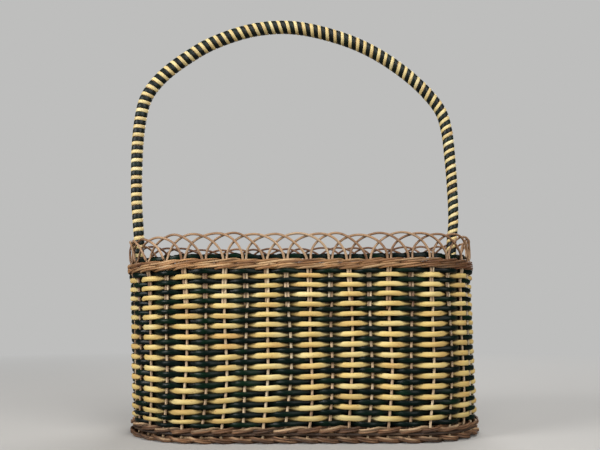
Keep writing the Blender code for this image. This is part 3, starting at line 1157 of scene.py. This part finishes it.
@dataclass
class WaleRow:
    """A row of rods: each passes outside some stakes and inside the next, one bay after another.

    With a `leg_depth`, a rod that comes inside at a leg of the handle goes round the leg and binds it
    to the wall. `twins` says how far twin rods lie above their middle, in shares of the radius.
    """

    plan: Plan
    hands: Handwork
    height: float
    radius: float
    outside: float
    inside: float
    rise: float
    over: int = 2
    twins: tuple[float, ...] = (0.0,)
    steps: int = 9
    floor: float | None = None
    leg_depth: float | None = None
    leg_span: Span = (0.3, 0.75)
    dive_span: Span = (0.15, 0.85)
    right_shade_span: Span | None = (0.03, 0.17)
    depth_share: float = 0.95
    width_share: float = 1.04
    tone_shares: Span = (0.15, 0.85)
    height_stray: Stray = Stray(0.00025, 0.11)
    offset_stray: Stray = Stray(0.0002, 0.07)
    radius_stray: Stray = Stray(0.08, 0.09)

    def rod(self, number: int, seed: int, twin: float) -> Cane:
        """One rod, once round the basket.

        Args:
            number: Which of the row's rods.
            seed: Picks its unevenness.
            twin: How far it lies above its twin's middle, in shares of its radius.

        Returns:
            The rod.
        """
        bays = self.plan.stakes + 1
        at = np.linspace(0, bays, bays * self.steps + 1)
        stake = at - self.plan.stakes / 2
        distance = at * self.plan.pitch
        rods = self.over + 1
        phase = (at + number + 0.5) % rods - 0.5
        apart = np.abs(phase - self.over)
        diving = 1 - smooth_step(np.minimum(apart, rods - apart), *self.dive_span)
        inside = np.full_like(at, self.inside)
        if self.leg_depth is not None:
            inside = self.plan.round_legs(stake, inside, self.leg_depth, self.leg_span)
        offset = self.outside + (inside - self.outside) * diving + self.offset_stray.at(distance, seed + 2)
        falling = self.over / 2 * (1 - 2 * smooth_step(phase, self.over - 0.5, self.over + 0.5))
        climb = np.where(phase <= self.over - 0.5, phase - (self.over - 1) / 2, falling)
        height = self.height + self.rise * climb + twin * self.radius + self.height_stray.at(distance, seed)
        along = self.hands.places(self.plan.stake(stake), height)
        points = self.plan.points(along, offset, self.hands.heights(along, height))
        radius = self.radius * (1 + self.radius_stray.at(distance, seed + 1))
        # Painted shade: rods turn to the darker tail colour towards the right end, partly their own browner
        # colour.
        crest = 1.0
        if self.right_shade_span is not None:
            crest = 1 - smooth_step(points[:, 0], *self.right_shade_span)
        return Cane(
            points=points, outward=self.plan.outward(along), half_depth=radius * self.depth_share,
            half_width=radius * self.width_share,
            tone=float(np.random.default_rng(seed + 7).uniform(*self.tone_shares)),
            crest=crest, floor=self.floor,
        )

    def rods(self, seed: int) -> list[Cane]:
        """All rods of the row.

        Args:
            seed: Picks their unevenness.

        Returns:
            The rods.
        """
        return [
            self.rod(number, seed + 14 * number + 3 * step, twin)
            for number in range(self.over + 1) for step, twin in enumerate(self.twins)
        ]


@dataclass
class Bands:
    """The bands: two waled rows under the hoops with a green strand on top, one waled row above the
    foot, and the plaited border below it."""

    plan: Plan
    hands: Handwork
    rim_bottom: float
    rim_top: float
    rope_bottom: float
    rope_top: float
    border_top: float
    touch: float = 0.00125
    rim_radius: float = 0.00112
    rim_proud: float = 0.0006
    packing: float = 0.94
    leg_depth: float = 0.0135
    twin_radius: float = 0.00114
    twin_apart: float = 0.78
    rope_proud: float = 0.0021
    rope_rise: float = 0.0027
    rope_share: float = 1.5
    border_proud: float = 0.0025
    border_rise: float = -0.0026
    border_share: float = 1.6
    recess_radius: float = 0.0014
    recess_depth_share: float = 0.8
    recess_side_share: float = 0.7
    recess_shares: tuple[tuple[float, int, int], ...] = ((1.0, 1, 301), (0.6, -1, 302))
    recess_length_share: float = 1.01
    recess_steps: int = 400
    recess_offset_stray: Stray = Stray(0.0002, 0.08)
    recess_height_stray: Stray = Stray(0.0003, 0.1)
    lining_height: float = 0.0054
    lining_depth: float = 0.0018
    lining_offset: float = 0.0024
    lining_swing: float = 0.0005
    lining_steps: int = 8
    lining_lap: float = 0.8
    lining_leg_span: Span = (0.35, 0.8)
    lining_stray: Stray = Stray(0.0005, 0.06)
    lining_fine_stray: Stray = Stray(0.0005, 0.017)
    lining_width_stray: Stray = Stray(0.2, 0.014)

    def lining(self) -> Cane:
        """The green strand that runs inside the feet of the hoops, on top of the band.

        Returns:
            The strand, which goes round each leg of the handle and laps over its own start at the back.
        """
        stakes = self.plan.stakes
        bays = stakes + self.lining_lap
        at = np.linspace(0, bays, round(bays * self.lining_steps) + 1)
        stake = at - stakes / 2
        distance = at * self.plan.pitch
        offset = -self.lining_offset - self.lining_swing * np.cos(FULL_TURN * stake)
        offset = self.plan.round_legs(stake, offset, self.leg_depth, self.lining_leg_span)
        offset = offset - self.lining_depth * smooth_step(at, stakes - self.lining_lap, stakes)
        stray = self.lining_stray.at(distance, 411) + self.lining_fine_stray.at(distance, 415)
        height = self.rim_top + self.lining_height / 2 + stray
        along = self.hands.places(self.plan.stake(stake), height)
        return Cane(
            points=self.plan.points(along, offset, self.hands.heights(along, height)),
            outward=self.plan.outward(along),
            half_depth=self.lining_depth / 2,
            half_width=self.lining_height / 2 * (1 + self.lining_width_stray.at(distance, 419)),
            tone=0.4,
            # Painted shade: a crest of 0.5 darkens the edges of both faces nearly to black.
            crest=0.5,
        )

    def row(self, height: float, radius: float, rise: float, proud: float) -> WaleRow:
        """A row of rods that lie against the stakes.

        Args:
            height: Middle of the row.
            radius: A rod's radius.
            rise: How far a rod rises from one stake to the next.
            proud: How far the rods stand off the stakes on the outside.

        Returns:
            The row.
        """
        near = self.touch + radius
        return WaleRow(self.plan, self.hands, height, radius, near + proud, -near, rise)

    def twin_row(self, height: float, rise: float, proud: float) -> WaleRow:
        """A row of twin rods, as at the foot, in one colour all round.

        Args:
            height: Middle of the row.
            rise: How far a rod rises from one stake to the next.
            proud: How far the rods stand off the stakes on the outside.

        Returns:
            The row.
        """
        row = self.row(height, self.twin_radius, rise, proud)
        return replace(row, over=1, twins=(-self.twin_apart, self.twin_apart), right_shade_span=None)

    def recess(self) -> list[Cane]:
        """A cane that lies back between the border and the rope, and one behind it, both painted dark as
        shade.

        Returns:
            Both canes.
        """
        at = np.linspace(0, self.plan.perimeter * self.recess_length_share, self.recess_steps)
        along = at + self.plan.perimeter / 2
        aside = self.touch + self.recess_radius * self.recess_side_share
        canes = []
        for share, side, seed in self.recess_shares:
            height = self.border_top + (self.rope_bottom - self.border_top) * share
            offset = side * aside + self.recess_offset_stray.at(at, seed)
            canes.append(Cane(
                points=self.plan.points(along, offset, height + self.recess_height_stray.at(at, seed + 5)),
                outward=self.plan.outward(along),
                half_depth=self.recess_radius * self.recess_depth_share,
                half_width=self.recess_radius,
                tone=0.6,
                # Painted shade: a crest of 0 turns them nearly all to the dark tail colour.
                crest=0.0,
            ))
        return canes

    def build(self, dresser: Dresser) -> None:
        """Make the bands, from the rim down.

        Args:
            dresser: Makes the pieces.
        """
        middle = (self.rim_bottom + self.rim_top) / 2
        step = 2 * self.rim_radius * self.packing
        lower, upper = (
            replace(self.row(height, self.rim_radius, step, self.rim_proud), leg_depth=self.leg_depth)
            for height in (middle - step, middle + step)
        )
        dresser.dress(
            lower.rods(40) + upper.rods(90), "rim_wale", Finish.RIM,
            "rim_twine_outer", "rim_twine_inner_front", "rim_twine_inner_back",
        )
        dresser.dress([self.lining()], "rim_lining_strand", Finish.GREEN)
        thick = self.twin_radius * (1 + self.twin_apart)
        rope = self.twin_row(self.rope_top - self.rope_share * thick, self.rope_rise, self.rope_proud)
        dresser.dress(rope.rods(171), "foot_wale", Finish.FOOT, "foot_twine_outer", "foot_twine_inner")
        border = self.twin_row(self.border_share * thick, self.border_rise, self.border_proud)
        border = replace(border, floor=0.0)
        dresser.dress(border.rods(211) + self.recess(), "foot_plait", Finish.FOOT, "foot_border")


@dataclass
class WovenFloor:
    """The floor: long canes woven over and under cross canes, cut to the plan."""

    plan: Plan
    low: float
    high: float
    inset: float = 0.0042
    long_pitch: float = 0.0056
    cross_pitch: float = 0.0180
    cross_width: float = 0.0026
    cross_depth_share: float = 0.8
    swing_share: float = 0.92
    long_steps: int = 140
    cross_steps: int = 60
    long_seed: int = 400
    cross_seed: int = 500
    tone_shares: Span = (0.3, 0.9)
    long_section: Section = Section(8, 2.6)
    cross_section: Section = Section(8)

    def rod(self, points: np.ndarray, depth: float, width: float, seed: int, section: Section) -> Cane:
        """One cane of the floor.

        Args:
            points: Its path.
            depth: Half its depth.
            width: Half its width.
            seed: Picks its tone.
            section: Shape of its section.

        Returns:
            The cane.
        """
        upward = np.broadcast_to((0.0, 0.0, 1.0), points.shape)
        tone = float(np.random.default_rng(seed).uniform(*self.tone_shares))
        return Cane(points, upward, depth, width, tone=tone, section=section)

    def build(self, dresser: Dresser) -> None:
        """Make the floor.

        Args:
            dresser: Makes the piece.
        """
        middle = (self.low + self.high) / 2
        swing = (self.high - self.low) / 4
        radius = swing * self.swing_share
        reach = self.plan.half_depth - self.inset
        rows = int(reach / self.long_pitch)
        canes = []
        for row in range(-rows, rows + 1):
            across = row * self.long_pitch
            half = self.plan.straight + math.sqrt(reach ** 2 - across ** 2) - radius
            x = np.linspace(-half, half, self.long_steps)
            wave = np.cos(math.pi * (x / self.cross_pitch + row))
            points = np.stack([x, np.full_like(x, across), middle + swing * wave], axis=-1)
            seed = self.long_seed + row
            canes.append(self.rod(points, radius, self.long_pitch / 2, seed, self.long_section))
        columns = int((self.plan.straight + reach) / self.cross_pitch)
        for column in range(-columns, columns + 1):
            x = column * self.cross_pitch
            past = max(abs(x) - self.plan.straight, 0)
            half = math.sqrt(max(reach ** 2 - past ** 2, 0)) - radius
            if half < self.cross_pitch:
                continue
            y = np.linspace(-half, half, self.cross_steps)
            points = np.stack([np.full_like(y, x), y, np.full_like(y, middle)], axis=-1)
            depth = radius * self.cross_depth_share
            seed = self.cross_seed + column
            canes.append(self.rod(points, depth, self.cross_width / 2, seed, self.cross_section))
        dresser.dress(canes, "woven_floor", Finish.RIM, "floor_panel")


@dataclass
class Bow:
    """Middle line of the handle, from the left leg's foot over the top to the right leg's foot.

    Above the rim it lies in a plane that is turned a little from the basket's long axis. Below the
    rim each leg follows the wall, inside the stake that it is bound to. `shares` gives the line
    above the rim, in shares of the reach to a leg and of the height above the rim.
    """

    plan: Plan
    floor_top: float
    weave_top: float
    rim_top: float
    core_top: float
    turn: float = math.radians(7.9)
    shift: float = -0.0025
    leg_radius: float = 0.0039
    top_radius: float = 0.0060
    wrap: float = 0.0013
    hoop_side: float = 0.00205
    weave_side: float = 0.0050
    leg_levels: tuple[float, ...] = (0.0, 0.25, 0.5, 0.75, 0.97)
    curve_steps: int = 24
    samples: int = 1600
    shares: tuple[Span, ...] = (
        (-1.022, 0.02), (-1.025, 0.09), (-1.034, 0.15), (-1.049, 0.26), (-1.054, 0.38), (-1.052, 0.49),
        (-1.036, 0.594), (-1.008, 0.664), (-0.951, 0.724), (-0.869, 0.781), (-0.760, 0.838),
        (-0.634, 0.894), (-0.481, 0.942), (-0.322, 0.977), (-0.150, 0.996), (0.010, 0.995),
        (0.182, 0.977), (0.358, 0.946), (0.529, 0.898), (0.706, 0.827), (0.846, 0.751),
        (0.951, 0.668), (0.993, 0.576), (1.008, 0.468), (1.018, 0.348), (1.020, 0.20),
        (1.000, 0.09), (1.000, 0.02),
    )

    def __post_init__(self) -> None:
        """Work the line out once."""
        self.top = self.core_top - self.top_radius
        reach = self.reach(-(self.hoop_side + self.leg_radius + self.wrap))
        height = self.top - self.rim_top
        arch = [
            (side * reach * math.cos(self.turn) + self.shift, side * reach * math.sin(self.turn),
             self.rim_top + up * height)
            for side, up in self.shares
        ]
        left, right = (self.leg(stake) for stake in self.plan.leg_stakes)
        line = smooth_curve(np.array([*left, *arch, *reversed(right)]), self.curve_steps)
        steps = np.concatenate([[0.0], np.cumsum(np.linalg.norm(np.diff(line, axis=0), axis=1))])
        self.length = float(steps[-1])
        self.at = np.linspace(0, self.length, self.samples)
        self.line = np.stack([np.interp(self.at, steps, line[:, axis]) for axis in range(3)], axis=-1)
        slope = np.gradient(self.line, self.at, axis=0)
        self.slope = slope / np.linalg.norm(slope, axis=-1, keepdims=True)

    def leg(self, stake: int) -> np.ndarray:
        """Points of a leg inside the wall, from the floor up.

        Args:
            stake: The stake that the leg is bound to.

        Returns:
            An array of points, one row each.
        """
        height = self.floor_top + np.array(self.leg_levels) * (self.weave_top - self.floor_top)
        along = np.full_like(height, self.plan.stake(stake))
        return self.plan.points(along, np.full_like(height, -self.weave_side - self.leg_radius), height)

    def reach(self, offset: float) -> float:
        """Distance from the basket's middle at which a leg lies `offset` outside the stake line.

        Args:
            offset: Distance outside the line.

        Returns:
            The distance.
        """
        across = self.plan.straight * math.sin(self.turn)
        beyond = math.sqrt((self.plan.half_depth + offset) ** 2 - across ** 2)
        return self.plan.straight * math.cos(self.turn) + beyond

    def read(self, distance: np.ndarray) -> tuple[np.ndarray, np.ndarray, np.ndarray, np.ndarray]:
        """Places on the bow.

        Args:
            distance: Distances along it.

        Returns:
            Points in space, directions along the bow, directions out of its curve, and core radii.
        """
        points, ahead = (
            np.stack([np.interp(distance, self.at, values[:, axis]) for axis in range(3)], axis=-1)
            for values in (self.line, self.slope)
        )
        ahead /= np.linalg.norm(ahead, axis=-1, keepdims=True)
        front = np.array([math.sin(self.turn), -math.cos(self.turn), 0.0])
        outward = np.cross(front, ahead)
        outward /= np.linalg.norm(outward, axis=-1, keepdims=True)
        rise = np.clip((points[:, 2] - self.rim_top) / (self.top - self.rim_top), 0, 1)
        return points, ahead, outward, between((self.leg_radius, self.top_radius), rise)

    def wrapped(self, bottom: float) -> tuple[float, float]:
        """Distances along the bow at which the winding starts and ends, at a height on each leg."""
        inside = self.at[self.line[:, 2] > bottom]
        return float(inside[0]), float(inside[-1])


@dataclass
class Handle:
    """The bent core and the two strips that are wound round it.

    The strips lie level at one side of the core, which goes from the front on the left leg to the
    outside on the right one: `slant_sides` says where, and `slant_depths` how level they get.
    """

    bow: Bow
    rim_bottom: float
    above_bottom: float = 0.001
    pairs: int = 84
    points_per_turn: int = 28
    green_share: float = 0.57
    thickness: float = 0.00105
    seat: float = 0.00015
    spread: float = 0.10
    turn_stray: Stray = Stray(0.05, 7.0)
    width_share: float = 0.985
    width_stray: Stray = Stray(0.03, 3.0)
    slant_span: Span = (0.08, 0.7)
    slant_sides: Span = (math.radians(90), math.radians(-45))
    slant_depths: Span = (0.95, 0.65)
    strip_section: Section = Section(12, 4.5)
    core_section: Section = Section(20)
    core_steps: int = 260

    def strip(self, start_share: float, width_share: float, seed: int) -> Strip:
        """One strip.

        Args:
            start_share: Where its first turn starts, in shares of a turn's advance.
            width_share: Its width, in shares of a turn's advance.
            seed: Picks its unevenness.

        Returns:
            The strip.
        """
        start, end = self.bow.wrapped(self.rim_bottom + self.above_bottom)
        advance = (end - start) / self.pairs
        turns = self.pairs - 1
        at = np.linspace(0, turns, turns * self.points_per_turn + 1)
        angle = FULL_TURN * at
        uneven = self.turn_stray.at(at, seed) + self.spread * np.sin(angle / self.pairs)
        turned = smooth_step(at / self.pairs, *self.slant_span)
        level = between(self.slant_depths, turned) * np.sin(angle - between(self.slant_sides, turned))
        distance = start + advance * (at + start_share + uneven - level / FULL_TURN)
        centre, ahead, outward, radius = self.bow.read(distance)
        facing = np.cos(angle)[:, None] * outward + np.sin(angle)[:, None] * np.cross(ahead, outward)
        width = advance * width_share * self.width_share * (1 + self.width_stray.at(at, seed + 1))
        return Strip(
            points=centre + facing * (radius + self.seat)[:, None], outward=facing,
            half_depth=self.thickness, half_width=width / 2, section=self.strip_section, ahead=ahead,
        )

    def build(self, dresser: Dresser) -> None:
        """Make the core and both strips.

        Args:
            dresser: Makes the pieces.
        """
        points, _, outward, radius = self.bow.read(np.linspace(0, self.bow.length, self.core_steps))
        core = Cane(points, outward, radius, radius, tone=0.35, section=self.core_section)
        dresser.dress([core], "handle_cane", Finish.RIM, "handle_core")
        for node, finish, start_share, width_share, seed in (
            ("handle_wrap_green", Finish.GREEN_STRIP, 0.0, self.green_share, 611),
            ("handle_wrap_yellow", Finish.CREAM_STRIP, 0.5, 1 - self.green_share, 622),
        ):
            strip = self.strip(start_share, width_share, seed)
            dresser.dress([strip], f"{node}_strip", finish, node)


@dataclass(frozen=True)
class Lamp:
    """A soft square lamp: its place, its size in metres and its power in watts."""

    name: str
    place: tuple[float, float, float]
    size: float
    power: float

    def build(self, aim_height: float) -> None:
        """Set it up.

        Args:
            aim_height: Height over the middle of the floor at which it points.
        """
        bpy.ops.object.light_add(type="AREA", location=self.place)
        lamp = bpy.context.object
        lamp.name = self.name
        lamp.data.size = self.size
        lamp.data.energy = self.power
        x, y, z = self.place
        lamp.rotation_euler = (math.atan2(math.hypot(x, y), z - aim_height), 0, math.atan2(x, -y))


@dataclass
class Studio:
    """Camera, floor, lamps and the plain surround."""

    camera_place: tuple[float, float, float] = (-0.0170, -0.7143, 0.1119)
    camera_pitch: float = math.radians(97.85)
    camera_turn: float = math.radians(-0.94)
    lens: float = 40.8
    sensor_width: float = 36.0
    clip_start: float = 0.01
    floor_size: float = 30.0
    floor_roughness: float = 0.8
    floor_colour: Colour = from_screen(190, 187, 182)
    bounce_colour: Colour = from_screen(128, 124, 118)
    backdrop_colour: Colour = from_screen(190, 190, 189)
    surround_colour: Colour = from_screen(84, 86, 90)
    fade: Span = (0.2, 1.7)
    aim_height: float = 0.15
    lamps: tuple[Lamp, ...] = (
        Lamp("key_lamp", (-2.2, -1.3, 0.95), 1.1, 59.0),
        Lamp("fill_lamp", (1.4, -2.1, 0.95), 1.8, 41.0),
        Lamp("top_lamp", (0.1, -0.75, 1.2), 0.8, 7.0),
        Lamp("back_lamp", (0.6, 1.7, 1.4), 1.6, 26.0),
    )

    def build(self) -> None:
        """Set the whole studio up: the main lamp stands to the left, above and a little in front."""
        bpy.context.scene.view_settings.view_transform = "Standard"
        self.camera()
        self.floor()
        for lamp in self.lamps:
            lamp.build(self.aim_height)
        self.world()

    def camera(self) -> None:
        """The camera, where the photograph was taken from."""
        turn = (self.camera_pitch, 0, self.camera_turn)
        bpy.ops.object.camera_add(location=self.camera_place, rotation=turn)
        camera = bpy.context.object
        camera.data.lens = self.lens
        camera.data.sensor_width = self.sensor_width
        camera.data.clip_start = self.clip_start
        camera.data.dof.use_dof = False
        bpy.context.scene.camera = camera

    def floor(self) -> None:
        """A plain pale floor that runs into the backdrop's colour far away."""
        bpy.ops.mesh.primitive_plane_add(size=self.floor_size, location=(0, 0, 0))
        floor = bpy.context.object
        floor.name = "studio_floor"
        graph = Graph("studio_floor")
        seen = graph.node("ShaderNodeLightPath", "Is Camera Ray")
        colour = graph.blend(seen, self.bounce_colour, self.floor_colour)
        graph.feed(graph.shader.inputs["Base Color"], colour)
        graph.shader.inputs["Roughness"].default_value = self.floor_roughness
        place = graph.node("ShaderNodeTexCoord", "Object")
        away = graph.node("ShaderNodeVectorMath", "Value", operation="LENGTH", slot0=place)
        far = graph.math("MULTIPLY", graph.span(away, self.fade), seen)
        glow = graph.node("ShaderNodeEmission", Color=(*self.backdrop_colour, 1), Strength=1.0)
        surface = graph.tree.nodes["Material Output"].inputs["Surface"]
        near = graph.shader.outputs["BSDF"]
        graph.feed(surface, graph.node("ShaderNodeMixShader", slot0=far, slot1=near, slot2=glow))
        floor.data.materials.append(graph.material)

    def world(self) -> None:
        """An even pale surround, darker as a light source than as a background."""
        world = bpy.data.worlds.new("studio_world")
        world.use_nodes = True
        tree = world.node_tree
        background = tree.nodes["Background"]
        background.inputs["Strength"].default_value = 1.0
        path = tree.nodes.new("ShaderNodeLightPath")
        mix = tree.nodes.new("ShaderNodeMix")
        mix.data_type = "RGBA"
        mix.inputs[6].default_value = (*self.surround_colour, 1)
        mix.inputs[7].default_value = (*self.backdrop_colour, 1)
        tree.links.new(path.outputs["Is Camera Ray"], mix.inputs[0])
        tree.links.new(mix.outputs[2], background.inputs["Color"])
        bpy.context.scene.world = world


def main() -> None:
    """Build the studio and every part of the basket."""
    logging.basicConfig(level=logging.INFO, format="%(name)s: %(message)s")
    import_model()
    bpy.ops.object.select_all(action="DESELECT")
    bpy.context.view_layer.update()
    Studio().build()
    rim_low, rim_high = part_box("rim_twine_outer")
    rope_low, rope_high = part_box("foot_twine_outer")
    _, border_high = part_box("foot_border")
    floor_low, floor_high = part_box("floor_panel")
    _, weave_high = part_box("green_weaver")
    _, hoop_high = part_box("rim_hoops")
    _, core_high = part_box("handle_core")
    plan = Plan()
    hands = Handwork(plan)
    bow = Bow(plan, floor_high.z, weave_high.z, rim_high.z, core_high.z)
    dresser = Dresser()
    Weave(plan, hands, rope_high.z, rim_low.z).build(dresser)
    StakesAndHoops(plan, hands, floor_low.z, rim_low.z, rim_high.z, hoop_high.z).build(dresser)
    Bands(plan, hands, rim_low.z, rim_high.z, rope_low.z, rope_high.z, border_high.z).build(dresser)
    WovenFloor(plan, floor_low.z, floor_high.z).build(dresser)
    Handle(bow, rim_low.z).build(dresser)


if __name__ == "__main__":
    main()
